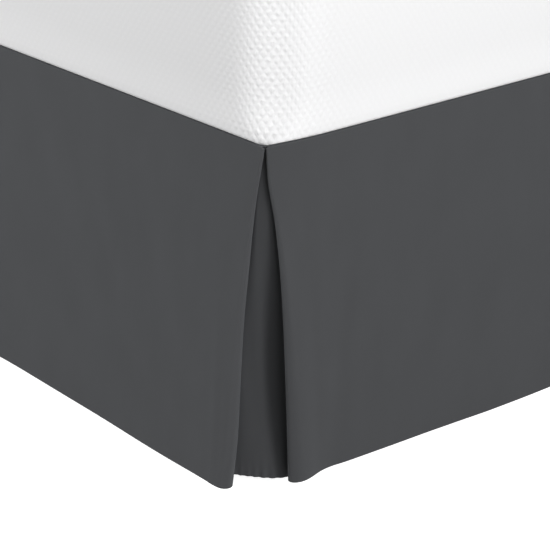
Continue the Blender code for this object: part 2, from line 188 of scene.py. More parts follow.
RIGHT_CREASES = [
    Crease(0.112, 0.48, 0.104, 1.00, 0.013, -0.0013),
    Crease(0.040, 0.03, 0.052, 0.24, 0.004, -0.0004),
    Crease(0.070, 0.16, 0.078, 0.52, 0.005, 0.0005),
    Crease(0.090, 0.05, 0.094, 0.40, 0.006, -0.0004),
    Crease(0.402, 0.00, 0.406, 0.24, 0.006, -0.0008),
    Crease(0.255, 0.25, 0.235, 0.75, 0.035, -0.0010),
    Crease(0.360, 0.35, 0.340, 0.90, 0.022, 0.0008),
    Crease(0.620, 0.10, 0.560, 0.80, 0.026, -0.0012),
    Crease(0.860, 0.25, 0.900, 1.00, 0.030, -0.0014),
    Crease(1.180, 0.05, 1.140, 0.65, 0.022, -0.0011),
    Crease(1.480, 0.30, 1.540, 0.95, 0.030, -0.0013),
    Crease(1.760, 0.05, 1.740, 0.55, 0.020, -0.0010),
]
LEFT_CREASES = [
    Crease(0.120, 0.40, 0.108, 1.00, 0.014, -0.0012),
    Crease(0.065, 0.10, 0.080, 0.50, 0.006, 0.0005),
    Crease(0.330, 0.05, 0.290, 0.60, 0.022, -0.0011),
    Crease(0.560, 0.30, 0.640, 0.95, 0.030, -0.0013),
    Crease(0.910, 0.10, 0.870, 0.70, 0.024, -0.0011),
    Crease(1.200, 0.35, 1.250, 1.00, 0.032, -0.0014),
    Crease(1.560, 0.05, 1.500, 0.60, 0.022, -0.0010),
    Crease(1.830, 0.25, 1.870, 0.90, 0.026, -0.0012),
]


# ---------------------------------------------------------------- settings
class BEDSKIRT_SkirtSettings(bpy.types.PropertyGroup):
    drop: bpy.props.FloatProperty(
        name="Drop",
        description="Cut length of a drop panel, below the deck",
        default=0.3795,
        min=0.2,
        unit="LENGTH",
    )
    thickness: bpy.props.FloatProperty(
        name="Cloth thickness",
        description="Thickness of the skirt's brushed cloth",
        default=CLOTH,
        min=0.0005,
        unit="LENGTH",
    )
    grid: bpy.props.FloatProperty(
        name="Grid",
        description="Spacing of the mesh on a panel's open face",
        default=0.009,
        min=0.004,
        unit="LENGTH",
    )
    colour: bpy.props.FloatVectorProperty(
        name="Cloth colour",
        description="Charcoal of the dyed microfibre",
        subtype="COLOR",
        size=4,
        min=0.0,
        max=1.0,
        default=(0.0537, 0.0554, 0.0587, 1.0),
    )
    # Painted light: the foot panel's cloth is lighter than the side panels' cloth, standing in for
    # the light that the foot face lacks.
    foot_painted_light: bpy.props.FloatProperty(
        name="Foot painted light",
        description="How much lighter the foot panel's cloth is than the side panels'",
        default=1.20,
        min=0.8,
        max=1.3,
    )
    sheen: bpy.props.FloatProperty(
        name="Nap sheen",
        description="How much the brushed nap catches light at a glancing angle",
        default=0.10,
        min=0.0,
        max=1.0,
        subtype="FACTOR",
    )


class BEDSKIRT_BedSettings(bpy.types.PropertyGroup):
    corner_radius: bpy.props.FloatProperty(
        name="Mattress corner",
        description="Radius of the mattress's upright corners above its base",
        default=0.060,
        min=0.02,
        unit="LENGTH",
    )
    knit_width: bpy.props.FloatProperty(
        name="Knit width",
        description="Width of one diamond of the mattress knit",
        default=0.0088,
        min=0.004,
        unit="LENGTH",
    )
    knit_height: bpy.props.FloatProperty(
        name="Knit height",
        description="Height of one diamond of the mattress knit",
        default=0.0118,
        min=0.004,
        unit="LENGTH",
    )
    knit_colour: bpy.props.FloatVectorProperty(
        name="Knit colour",
        description="White of the mattress cover",
        subtype="COLOR",
        size=4,
        min=0.0,
        max=1.0,
        default=(0.86, 0.86, 0.865, 1.0),
    )
    ticking_colour: bpy.props.FloatVectorProperty(
        name="Ticking colour",
        description="Pale grey of the box spring's cloth",
        subtype="COLOR",
        size=4,
        min=0.0,
        max=1.0,
        default=(0.62, 0.62, 0.61, 1.0),
    )
    steel_colour: bpy.props.FloatVectorProperty(
        name="Frame colour",
        description="Black powder coat of the bed frame",
        subtype="COLOR",
        size=4,
        min=0.0,
        max=1.0,
        default=(0.025, 0.025, 0.027, 1.0),
    )


class BEDSKIRT_StageSettings(bpy.types.PropertyGroup):
    floor_colour: bpy.props.FloatVectorProperty(
        name="Floor colour",
        description="White of the studio floor",
        subtype="COLOR",
        size=4,
        min=0.0,
        max=1.0,
        default=(0.80, 0.80, 0.80, 1.0),
    )
    floor_glow: bpy.props.FloatProperty(
        name="Floor glow",
        description="Light given off by the studio floor, which keeps its shadows faint",
        default=0.94,
        min=0.0,
    )
    room_light: bpy.props.FloatProperty(
        name="Room light",
        description="Strength of the even light from all round",
        default=0.13,
        min=0.0,
    )
    key_power: bpy.props.FloatProperty(
        name="Key light",
        description="Power of the large soft light that faces the right side panel",
        default=112.0,
        min=0.0,
        unit="POWER",
    )
    top_power: bpy.props.FloatProperty(
        name="Top light",
        description="Power of the soft light over the middle of the bed",
        default=75.0,
        min=0.0,
        unit="POWER",
    )
    front_power: bpy.props.FloatProperty(
        name="Front light",
        description="Power of the soft light between the key and the camera",
        default=34.0,
        min=0.0,
        unit="POWER",
    )
    fill_power: bpy.props.FloatProperty(
        name="Fill light",
        description="Power of the soft light in front of the foot",
        default=86.0,
        min=0.0,
        unit="POWER",
    )
    lens: bpy.props.FloatProperty(
        name="Lens",
        description="Focal length of the camera on a 36 mm sensor",
        default=145.1,
        min=20.0,
        subtype="DISTANCE_CAMERA",
    )


# ---------------------------------------------------------------- small sums
def ease(share):
    """0 to 1 with level ends."""
    share = np.clip(share, 0.0, 1.0)
    return share * share * (3 - 2 * share)


def mix(a, b, share):
    return a + (b - a) * share


def smooth_curve(places, values):
    """A smooth curve through the values at those places, as a function of the place."""
    places, values = np.array(places), np.array(values)
    order = np.arange(len(places))
    low, high = np.maximum(order - 1, 0), np.minimum(order + 1, len(places) - 1)
    slopes = (values[high] - values[low]) / (places[high] - places[low])

    def curve(at):
        at = np.clip(at, places[0], places[-1])
        i = np.clip(np.searchsorted(places, at, side="right") - 1, 0, len(places) - 2)
        width = places[i + 1] - places[i]
        s = (at - places[i]) / width
        return (
            (2 * s**3 - 3 * s**2 + 1) * values[i]
            + (s**3 - 2 * s**2 + s) * slopes[i] * width
            + (3 * s**2 - 2 * s**3) * values[i + 1]
            + (s**3 - s**2) * slopes[i + 1] * width
        )

    return curve


def table_curve(rows, column):
    return smooth_curve([row[0] for row in rows], [getattr(row, column) for row in rows])


def smooth_course(points, steps):
    """Points along a smooth curve through the given ones, on the first axis of the array."""
    course = []
    last = len(points) - 1
    for i in range(last):
        before, a = points[max(i - 1, 0)], points[i]
        b, after = points[i + 1], points[min(i + 2, last)]
        for k in range(steps):
            s = k / steps
            course.append(
                a
                + (b - before) * s / 2
                + (2 * before - 5 * a + 4 * b - after) * s**2 / 2
                + (3 * a - before - 3 * b + after) * s**3 / 2
            )
    course.append(points[last])
    return np.array(course)


def relief(creases, along, down, drop):
    """Height of all the creases at points given by their distances along and down the cloth."""
    height = np.zeros_like(along * down)
    for crease in creases:
        start = np.array((crease.along, crease.level * drop))
        run = np.array((crease.to_along, crease.to_level * drop)) - start
        length = np.hypot(*run)
        course = ((along - start[0]) * run[0] + (down - start[1]) * run[1]) / length
        across = ((along - start[0]) * run[1] - (down - start[1]) * run[0]) / length
        fade = 0.3 * length
        ends = ease((course + fade) / fade) * ease((length + fade - course) / fade)
        height = height + crease.height * np.exp(-((across / crease.half_width) ** 2)) * ends
    return height


def slow_waves(along, down, seed):
    """Faint, uneven swells of hanging cloth, under half a millimetre high."""
    waves = 0.00022 * np.sin(11.0 * along + 4.3 * down + 1.7 * seed)
    waves = waves + 0.00016 * np.sin(23.0 * along - 9.0 * down + 2.9 * seed)
    return waves + 0.00012 * np.sin(37.0 * along + 17.0 * down + 0.6 * seed)


# ---------------------------------------------------------------- node materials
class Finish:
    """A material under construction, with short names for the nodes that finishes share."""

    def __init__(self, name):
        self.material = bpy.data.materials.new(name)
        self.material.use_nodes = True
        self.nodes = self.material.node_tree.nodes
        self.links = self.material.node_tree.links
        self.shader = self.nodes["Principled BSDF"]

    def set(self, **values):
        """Values that are the same all over the surface, by their sockets' names."""
        for name, value in values.items():
            self.shader.inputs[name.replace("_", " ")].default_value = value

    def node(self, kind, **settings):
        made = self.nodes.new(kind)
        for name, value in settings.items():
            setattr(made, name, value)
        return made

    def coordinates(self, output, scale):
        """Texture coordinates times a scale, so that a texture has its real size."""
        source = self.node("ShaderNodeTexCoord")
        mapping = self.node("ShaderNodeMapping")
        mapping.inputs["Scale"].default_value = scale
        self.links.new(source.outputs[output], mapping.inputs["Vector"])
        return mapping.outputs["Vector"]

    def noise(self, vector, scale, detail=2.0, roughness=0.5):
        made = self.node("ShaderNodeTexNoise")
        made.inputs["Scale"].default_value = scale
        made.inputs["Detail"].default_value = detail
        made.inputs["Roughness"].default_value = roughness
        self.links.new(vector, made.inputs["Vector"])
        return made.outputs["Fac"]

    def math(self, operation, a, b=None):
        made = self.node("ShaderNodeMath", operation=operation)
        for socket, value in zip(made.inputs, (a, b)):
            if value is None:
                continue
            if isinstance(value, (int, float)):
                socket.default_value = value
            else:
                self.links.new(value, socket)
        return made.outputs["Value"]

    def ramp(self, factor, low, high, dark, light):
        """A colour that goes from dark to light as the factor goes from low to high."""
        made = self.node("ShaderNodeValToRGB")
        first, last = made.color_ramp.elements
        first.position, last.position = low, high
        first.color, last.color = dark, light
        self.links.new(factor, made.inputs["Fac"])
        return made.outputs["Color"]

    def bump(self, height, strength, distance, under=None):
        made = self.node("ShaderNodeBump")
        made.inputs["Strength"].default_value = strength
        made.inputs["Distance"].default_value = distance
        self.links.new(height, made.inputs["Height"])
        if under is not None:
            self.links.new(under, made.inputs["Normal"])
        return made.outputs["Normal"]

    def part(self, vector, axis):
        made = self.node("ShaderNodeSeparateXYZ")
        self.links.new(vector, made.inputs["Vector"])
        return made.outputs[axis]

    def blotches(self, factor, low, high, colour, darkest, lightest):
        """The base colour, from its darkest to its lightest shade as the factor rises."""
        shades = shade(colour, darkest), shade(colour, lightest)
        self.connect(self.ramp(factor, low, high, *shades), "Base Color")

    def connect(self, output, socket):
        self.links.new(output, self.shader.inputs[socket])


def shade(colour, factor):
    """The same colour, darker or lighter."""
    return (*(min(channel * factor, 1.0) for channel in colour[:3]), 1.0)


def brushed_microfibre(name, settings, tone=1.0):
    """Dense brushed cloth: faint cloudy nap, a fine plain weave under it and a low sheen. A tone
    above 1 lightens the cloth as painted light.
    """
    finish = Finish(name)
    finish.set(Roughness=0.92, Sheen_Weight=settings.sheen, Sheen_Roughness=0.45)
    finish.set(Sheen_Tint=(0.85, 0.90, 1.0, 1.0), Specular_IOR_Level=0.25)
    metres = finish.coordinates("UV", (1.0, 1.0, 1.0))
    nap = finish.noise(finish.coordinates("UV", (1.0, 0.45, 1.0)), 26.0, 4.0, 0.55)
    fibre = finish.noise(finish.coordinates("UV", (1.0, 0.35, 1.0)), 1400.0, 2.0, 0.6)
    mottle = finish.math("MULTIPLY", nap, 0.7)
    mottle = finish.math("ADD", mottle, finish.math("MULTIPLY", fibre, 0.3))
    finish.blotches(mottle, 0.25, 0.75, shade(settings.colour, tone), 0.94, 1.06)
    threads = []
    for axis, pitch in (("X", 0.00042), ("Y", 0.00038)):
        turns = finish.math("MULTIPLY", finish.part(metres, axis), 2 * math.pi / pitch)
        threads.append(finish.math("SINE", turns))
    weave = finish.math("MULTIPLY", threads[0], threads[1])
    fine = finish.bump(weave, 0.25, 0.00005)
    fuzz = finish.bump(fibre, 0.35, 0.00018, fine)
    finish.connect(finish.bump(nap, 0.25, 0.0006, fuzz), "Normal")
    return finish.material


def diamond_knit(name, settings):
    """White stretch knit of small staggered puffs, fullest over the corners, where painted light
    also whitens it.
    """
    finish = Finish(name)
    finish.set(Roughness=0.88, Sheen_Weight=0.08, Sheen_Roughness=0.5, Specular_IOR_Level=0.3)
    metres = finish.coordinates("UV", (1.0, 1.0, 1.0))
    wander = finish.math("MULTIPLY", finish.noise(metres, 30.0), 0.6)
    across = finish.math("MULTIPLY", finish.part(metres, "X"), math.pi / settings.knit_width)
    upward = finish.math("MULTIPLY", finish.part(metres, "Y"), math.pi / settings.knit_height)
    upward = finish.math("ADD", upward, wander)
    rising = finish.math("ABSOLUTE", finish.math("SINE", finish.math("ADD", across, upward)))
    falling = finish.math("ABSOLUTE", finish.math("SINE", finish.math("SUBTRACT", across, upward)))
    puff = finish.math("POWER", finish.math("MULTIPLY", rising, falling), 1.5)
    loops = finish.noise(metres, 300.0, 2.0, 0.5)
    uneven = finish.math("MULTIPLY", puff, finish.math("ADD", loops, 0.5))
    uneven = finish.math("ADD", uneven, finish.math("MULTIPLY", loops, 0.7))
    cloud = finish.noise(metres, 14.0, 3.0, 0.5)
    tone = finish.math("MULTIPLY", uneven, 0.35)
    tone = finish.math("ADD", tone, finish.math("MULTIPLY", cloud, 0.4))
    near_corner = finish.node("ShaderNodeAttribute", attribute_name="near_corner").outputs["Fac"]
    # Painted highlight: the knit's colour is whitened near the upright corners.
    painted_corner_light = finish.math("MULTIPLY", finish.math("POWER", near_corner, 2.0), 0.8)
    tone = finish.math("ADD", finish.math("MULTIPLY", tone, 0.2), painted_corner_light)
    finish.blotches(tone, 0.05, 0.95, settings.knit_colour, 0.985, 1.07)
    yarn = finish.bump(finish.noise(metres, 1100.0, 2.0, 0.6), 0.2, 0.0002)
    knit = finish.bump(uneven, 0.2, 0.0008, yarn)
    relief = finish.math("ADD", finish.math("MULTIPLY", near_corner, 0.5), 0.12)
    finish.links.new(relief, knit.node.inputs["Strength"])
    finish.connect(knit, "Normal")
    return finish.material


def plain_ticking(name, settings):
    """Pale woven cover with fine upright ribs."""
    finish = Finish(name)
    finish.set(Roughness=0.9, Specular_IOR_Level=0.3)
    metres = finish.coordinates("UV", (1.0, 1.0, 1.0))
    rib_pitch = 0.0022
    turns = finish.math("MULTIPLY", finish.part(metres, "X"), 2 * math.pi / rib_pitch)
    ribs = finish.math("SINE", turns)
    cloud = finish.noise(metres, 18.0, 4.0, 0.55)
    finish.blotches(cloud, 0.3, 0.7, settings.ticking_colour, 0.93, 1.04)
    yarn = finish.bump(finish.noise(metres, 1100.0, 2.0, 0.6), 0.3, 0.0003)
    finish.connect(finish.bump(ribs, 0.3, 0.0003, yarn), "Normal")
    return finish.material


def powder_coat(name, settings):
    """Black powder-coated steel with a fine orange-peel skin and rubbed patches."""
    finish = Finish(name)
    finish.set(Metallic=0.25)
    place = finish.coordinates("Object", (1.0, 1.0, 1.0))
    peel = finish.noise(place, 900.0, 2.0, 0.5)
    wear = finish.noise(place, 22.0, 5.0, 0.6)
    finish.blotches(wear, 0.35, 0.75, settings.steel_colour, 0.85, 1.5)
    rough = finish.math("ADD", finish.math("MULTIPLY", wear, 0.25), 0.32)
    finish.connect(rough, "Roughness")
    finish.connect(finish.bump(peel, 0.3, 0.0003), "Normal")
    return finish.material


def moulded_plastic(name):
    """Matt black moulded plastic of the glides, scuffed by the floor."""
    finish = Finish(name)
    place = finish.coordinates("Object", (1.0, 1.0, 1.0))
    scuff = finish.noise(place, 120.0, 5.0, 0.65)
    finish.connect(
        finish.ramp(scuff, 0.4, 0.8, (0.016, 0.016, 0.016, 1.0), (0.05, 0.05, 0.048, 1.0)),
        "Base Color",
    )
    finish.connect(finish.math("ADD", finish.math("MULTIPLY", scuff, 0.3), 0.4), "Roughness")
    finish.connect(finish.bump(finish.noise(place, 1500.0), 0.2, 0.0002), "Normal")
    return finish.material


def finish_named(name, make, *settings):
    """A finish is made once and then shared."""
    return bpy.data.materials.get(name) or make(name, *settings)


# ---------------------------------------------------------------- meshes
def face_corners(grid):
    """The four values round each face of a grid, as (rows, columns, 4, ...)."""
    return np.stack([grid[:-1, :-1], grid[:-1, 1:], grid[1:, 1:], grid[1:, :-1]], axis=2)


def mesh_object(name, points, faces, corner_uv, material):
    """A smooth mesh, with a UV in metres for each corner of each face."""
    mesh = bpy.data.meshes.new(name)
    mesh.from_pydata(points.reshape(-1, 3).tolist(), [], faces)
    layer = mesh.uv_layers.new(name="Metres")
    layer.data.foreach_set("uv", corner_uv.astype(np.float32).ravel())
    mesh.materials.append(material)
    mesh.shade_smooth()
    made = bpy.data.objects.new(name, mesh)
    bpy.context.scene.collection.objects.link(made)
    return made


def sheet_object(name, points, spread, thickness, material):
    """A sheet from the grid of its middle surface (rows, columns, 3), and its spread-out UV."""
    index = np.arange(points[..., 0].size).reshape(points.shape[:2])
    faces = face_corners(index).reshape(-1, 4).tolist()
    made = mesh_object(name, points, faces, face_corners(spread), material)
    solid = made.modifiers.new("Cloth thickness", "SOLIDIFY")
    solid.thickness = thickness
    solid.offset = 0
    solid.use_even_offset = True
    return made


def run_lengths(points):
    """Distance along each row of points from its first one."""
    steps = np.linalg.norm(np.diff(points, axis=1), axis=2)
    return np.concatenate([np.zeros((len(points), 1)), np.cumsum(steps, axis=1)], axis=1)


def cloth_levels():
    """Levels of the rows: close together at the deck and at the hem's edge."""
    return np.concatenate(
        [[0.0, 0.004, 0.01, 0.018, 0.028], np.linspace(0.04, 0.975, 58), [0.985, 0.992, 0.9965, 1.0]]
    )


def face_places(reach, grid):
    """Places of a face's columns from its fold's turn: fine at first, then on an even grid."""
    places, step = [0.0], 0.0015
    while step < grid:
        places.append(places[-1] + step)
        step *= 1.12
    count = round((reach - places[-1]) / grid)
    return np.concatenate([places, np.linspace(places[-1], reach, count + 1)[1:]])


def cloth_height(level, sag, drop, is_face=False):
    """Height of the cloth. A face's top edge stands in front of the deck's edge, up to its top."""
    raised = (DECK_HIGH.z - PANEL_TOP) * np.clip(1 - level / 0.01, 0.0, 1.0) * is_face
    return PANEL_TOP - drop * level - sag * level**2 + raised


def side_tuck(along, level):
    """How far a side edge beside a foot corner is drawn into the bed."""
    near_corner = np.clip(1 - along / TUCK_REACH, 0.0, 1.2) ** 2
    return TUCK * near_corner * (1 - ease(level / TUCK_LEVELS))


# ---------------------------------------------------------------- drop panels
def half_panel(fold, flare, creases, seed, tucked, reach, skirt):
    """(along, depth) arrays for all levels: return, fold and face, from one foot corner."""
    level = cloth_levels()[:, None]
    half_cloth = skirt.thickness / 2
    reach_out = mix(FOLD_AT_DECK, fold.reach_at_hem, level**FOLD_GROWTH)
    half_depth = mix(FOLD_AT_DECK, fold.half_depth_at_hem, level**FOLD_GROWTH)
    turn = table_curve(FOLD_OPENING, fold.opening)(level) + reach_out

    def face_depth(along):
        beside_fold = 1 - ease((along - turn) / RIDGE_WIDTH)
        depth = half_cloth - flare(along) * level
        depth = depth - fold.ridge * level**RIDGE_GROWTH * beside_fold
        return depth + (side_tuck(along, level) if tucked else 0.0)

    face = face_depth(turn)
    end_along = mix(RETURN_END_AT_DECK, RETURN_END_AT_HEM, level)
    end_depth = mix(half_cloth + 2 * FOLD_AT_DECK, fold.return_depth_at_hem, level**2)
    share = np.linspace(0.0, 1.0, 16)[None, :-1]
    back_along = mix(end_along, turn, share)
    back_depth = mix(end_depth, face + 2 * half_depth, share**2)
    if tucked:
        back_depth = back_depth + side_tuck(back_along, level) - side_tuck(turn, level) * share**2
    angle = np.linspace(0.0, math.pi, 15)[None, :-1]
    round_along = turn - reach_out * np.sin(angle)
    round_depth = face + half_depth * (1 + np.cos(angle))
    places = face_places(reach, skirt.grid)[None, :]
    front_along = places + turn * (1 - ease(places / FOLLOWS_FOLD))
    down = level * skirt.drop
    settled = ease(places / 0.012) * ease(level / 0.05)
    swell = relief(creases, front_along, down, skirt.drop) + slow_waves(front_along, down, seed)
    front_depth = face_depth(front_along) - swell * settled
    along = np.concatenate([back_along, round_along, front_along], axis=1)
    depth = np.concatenate([back_depth, round_depth, front_depth], axis=1)
    is_face = np.arange(along.shape[1]) >= along.shape[1] - places.shape[1]
    return along, depth, is_face


def panel_piece(name, x, y, along, is_face, hang, material, skirt):
    """A drop panel hung from its course in plan, and the width that it was cut to."""
    level = cloth_levels()[:, None]
    z = cloth_height(level, table_curve(hang, "sag")(along), skirt.drop, is_face[None, :])
    points = np.stack([x, y, z], axis=2)
    middle = run_lengths(points)[len(points) // 2]
    spread = np.stack(np.broadcast_arrays(middle[None, :], level * skirt.drop), axis=2)
    return sheet_object(name, points, spread, skirt.thickness, material), middle[-1]


def declare_cloth(piece, node):
    """Attach a sheet to the root body and hide the part that it stands for."""
    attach(piece, "root")
    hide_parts(node)


class BEDSKIRT_OT_foot_panel(bpy.types.Operator):
    """Hang the drop panel across the foot, folded back at both corners"""

    bl_idname = "bedskirt.foot_panel"
    bl_label = "Foot Panel"

    def execute(self, context):
        skirt = context.scene.bed_skirt
        flare = table_curve(FOOT_HANG, "flare")
        mirrored = [
            Crease(WIDTH - c.along, c.level, WIDTH - c.to_along, c.to_level, *c[4:])
            for c in FOOT_CREASES
        ]
        right, right_depth, is_face = half_panel(
            FOOT_FOLD, flare, FOOT_CREASES, 1.0, False, WIDTH / 2, skirt
        )
        left, left_depth, _ = half_panel(
            FOOT_FOLD, lambda at: flare(WIDTH - at), mirrored, 1.0, False, WIDTH / 2, skirt
        )
        along = np.concatenate([right, (WIDTH - left)[:, -2::-1]], axis=1)
        is_face = np.concatenate([is_face, is_face[-2::-1]])
        middle = 0.5 * (right_depth[:, -1:] + left_depth[:, -1:])
        for depth in (right_depth, left_depth):
            last_seventh = ease(np.linspace(-6.0, 1.0, depth.shape[1]))[None, :]
            depth += (middle - depth[:, -1:]) * last_seventh
        depth = np.concatenate([right_depth, left_depth[:, -2::-1]], axis=1)
        x, y = SIDE_X - along, FOOT_Y + depth
        # Painted light: the foot panel gets a lightened copy of the side panels' cloth.
        material = finish_named(
            "charcoal_brushed_cloth_foot", brushed_microfibre, skirt, skirt.foot_painted_light
        )
        piece, cut = panel_piece(
            "foot_drop_panel", x, y, along, is_face, FOOT_HANG, material, skirt
        )
        declare_cloth(piece, "skirt_foot_panel")
        return {"FINISHED"}


class BEDSKIRT_OT_side_panels(bpy.types.Operator):
    """Hang the drop panels along both sides, folded back at the foot corners"""

    bl_idname = "bedskirt.side_panels"
    bl_label = "Side Panels"

    def execute(self, context):
        skirt = context.scene.bed_skirt
        material = finish_named("charcoal_brushed_cloth", brushed_microfibre, skirt)
        for word, side, hang, creases in (
            ("right", 1, RIGHT_HANG, RIGHT_CREASES),
            ("left", -1, LEFT_HANG, LEFT_CREASES),
        ):
            along, depth, is_face = half_panel(
                SIDE_FOLD, table_curve(hang, "flare"), creases, 2.0 + side, True, LENGTH, skirt
            )
            x, y = side * (SIDE_X - depth), FOOT_Y + along
            piece, cut = panel_piece(
                f"side_drop_panel_{word}", x, y, along, is_face, hang, material, skirt
            )
            node = f"skirt_side_panel_{word}"
            declare_cloth(piece, node)
        return {"FINISHED"}


# ---------------------------------------------------------------- corner pleats
def hem_puckers(run, down, drop):
    """Small uneven gathers along the underlay's stitched hem."""
    height, reach, pitch = 0.0007, 0.011, 0.0085
    near_hem = np.exp(-(((drop - down) / reach) ** 2))
    return height * near_hem * np.sin(2 * math.pi * run / pitch + 1.2 * np.sin(90.0 * run))


class BEDSKIRT_OT_corner_pleats(bpy.types.Operator):
    """Hang the underlay behind each foot corner's open pleat"""

    bl_idname = "bedskirt.corner_pleats"
    bl_label = "Corner Pleats"

    def execute(self, context):
        skirt = context.scene.bed_skirt
        # Painted light: the underlay gets a lightened copy of the cloth, which brightens it in its
        # shaded recess.
        material = finish_named("charcoal_brushed_cloth_pleat", brushed_microfibre, skirt, 1.08)
        level = cloth_levels()
        plan = []
        for point in UNDERLAY:
            side_curve = smooth_curve(LEVELS_OF_COURSE, point[0::2])
            foot_curve = smooth_curve(LEVELS_OF_COURSE, point[1::2])
            plan.append(np.stack([side_curve(level), foot_curve(level)], axis=1))
        plan = smooth_course(np.array(plan), 7).transpose(1, 0, 2)
        run = run_lengths(plan)
        tangent = np.gradient(plan, axis=1)
        normal = np.stack([-tangent[..., 1], tangent[..., 0]], axis=2)
        normal /= np.linalg.norm(normal, axis=2, keepdims=True)
        down = level[:, None] * skirt.drop
        open_part = ease((run - 0.05) / 0.02) * ease((0.125 - run) / 0.02)
        swell = hem_puckers(run, down, skirt.drop) * open_part
        plan = plan + normal * swell[..., None]
        z = np.broadcast_to(cloth_height(level[:, None], 0.0, skirt.drop), run.shape)
        for word, side in (("right", 1), ("left", -1)):
            points = np.stack([side * (SIDE_X - plan[..., 0]), FOOT_Y + plan[..., 1], z], axis=2)
            spread = np.stack([run, np.broadcast_to(down, run.shape)], axis=2)
            name = f"pleat_underlay_{word}"
            piece = sheet_object(name, points, spread, skirt.thickness, material)
            node = f"corner_pleat_{word}"
            declare_cloth(piece, node)
        return {"FINISHED"}


# ---------------------------------------------------------------- deck, mattress, box spring
CORNERS = ((-1, 1), (-1, -1), (1, -1), (1, 1))  # signs of x and y, anticlockwise from the head
STRAIGHT_STEPS = (25, 68, 50, 68, 25)
CORNER_STEPS = 12
CORNER_INSIDE = 0.040  # how far in a rounded corner stands, across and lengthways together
CORNER_EASE = 0.0115  # what a rounded corner saves of the way round it, for each half
NEAR_CORNER = 0.070  # reach of the corners' fuller knit and of the painted light that whitens them
CAP_SHARES = (0.03, 0.15, 0.3, 0.45, 0.6, 0.75, 0.87, 0.95, 0.985)  # rings of a block's end


def outline(half_x, half_y, radius, tuck=0.0):
    """A rounded rectangle in plan, anticlockwise from the middle of the head."""
    head_middle = np.array((0.0, half_y))
    points = [head_middle]
    for turn, (corner, steps) in enumerate(zip(CORNERS, STRAIGHT_STEPS)):
        angles = np.radians(90 * (turn + np.linspace(1, 2, CORNER_STEPS + 1)))
        centre = corner * (np.array((half_x, half_y)) - radius)
        arc = centre + radius * np.column_stack([np.cos(angles), np.sin(angles)])
        start = points[-1]
        points += [mix(start, arc[0], k / steps) for k in range(1, steps)]
        points += list(arc)
    start, steps = points[-1], STRAIGHT_STEPS[-1]
    points += [mix(start, head_middle, k / steps) for k in range(1, steps)]
    points = np.array(points)
    near_corner = np.clip(1 - (points[:, 1] + half_y) / TUCK_REACH, 0.0, 1.0) ** 2
    outward = points[:, 0] / half_x
    points[:, 0] -= tuck * near_corner * outward**9
    return points


def ring_at(plan, height, share=1.0):
    return np.column_stack([plan * share, np.full(len(plan), height)])


def end_rings(ring):
    """Smaller and smaller rings inside a block's lowest or highest ring, innermost first."""
    return [ring_at(ring[:, :2], ring[0, 2], share) for share in CAP_SHARES]


def unrolled(points, half_x, half_y):
    """(distance round the block, distance from the nearest upright corner) in plan.

    The first is true to length across the rounded corners, and upright lines stay upright.
    """
    x, y = points[..., 0], points[..., 1]
    from_foot_or_head, from_side = half_y - np.abs(y), half_x - np.abs(x)
    from_corner = np.where(x * y > 0, from_side - from_foot_or_head, from_foot_or_head - from_side)
    inside = from_foot_or_head + from_side - CORNER_INSIDE
    true_length = from_corner - CORNER_EASE * np.tanh(from_corner / (3.5 * CORNER_EASE))
    passed = np.where(x <= 0, np.where(y > 0, 0, 1), np.where(y <= 0, 2, 3))
    faces = 2 * np.array((half_x / 2, half_y, half_x, half_y)) - 2 * CORNER_EASE
    return np.cumsum(faces)[passed] + true_length, np.maximum(np.abs(from_corner), inside)


def block_object(name, under, sides, over, material):
    """A closed block lofted through rings of points from its underside's middle to its top's.

    The UV unrolls the sides round the block, and lays the ends out flat, both in metres.
    """
    rings = np.array(under + sides + over)
    rows, count = rings.shape[:2]
    wrapped = np.concatenate([rings, rings[:, :1] + (1e-6, 0, 0)], axis=1)
    rise = run_lengths(rings[:, :1].transpose(1, 0, 2))[0]
    around, from_corner = unrolled(wrapped, *rings[..., :2].max(axis=(0, 1)))
    spread = face_corners(wrapped[..., :2])
    of_sides = slice(len(under), len(under) + len(sides) - 1)
    unrolled_sides = np.stack(np.broadcast_arrays(around, rise[:, None]), axis=2)
    spread[of_sides] = face_corners(unrolled_sides)[of_sides]
    index = np.arange(rows * count).reshape(rows, count)
    index = np.concatenate([index, index[:, :1]], axis=1)
    faces = face_corners(index).reshape(-1, 4).tolist()
    faces += [index[0, -2::-1].tolist(), index[-1, :-1].tolist()]
    corner_uv = np.concatenate([spread.reshape(-1, 2), rings[0, ::-1, :2], rings[-1, :, :2]])
    made = mesh_object(name, rings, faces, corner_uv, material)
    near_corner = made.data.attributes.new("near_corner", "FLOAT", "POINT")
    nearness = np.exp(-((from_corner[:, :-1] / NEAR_CORNER) ** 2))
    near_corner.data.foreach_set("value", nearness.ravel())
    made.data.set_sharp_from_angle(angle=math.radians(40))
    return made


class BEDSKIRT_OT_deck(bpy.types.Operator):
    """Lay the deck sheet between mattress and box spring"""

    bl_idname = "bedskirt.deck"
    bl_label = "Deck"

    def execute(self, context):
        skirt = context.scene.bed_skirt
        inset = skirt.thickness + GAP
        corner_radius = 0.003
        edge = outline(SIDE_X - inset, LENGTH / 2 - inset, corner_radius, TUCK)
        sides = [ring_at(edge, DECK_LOW.z), ring_at(edge, DECK_HIGH.z)]
        under, over = end_rings(sides[0]), end_rings(sides[1])[::-1]
        material = finish_named("charcoal_brushed_cloth", brushed_microfibre, skirt)
        piece = block_object("deck_sheet", under, sides, over, material)
        declare_cloth(piece, "skirt_deck")
        return {"FINISHED"}


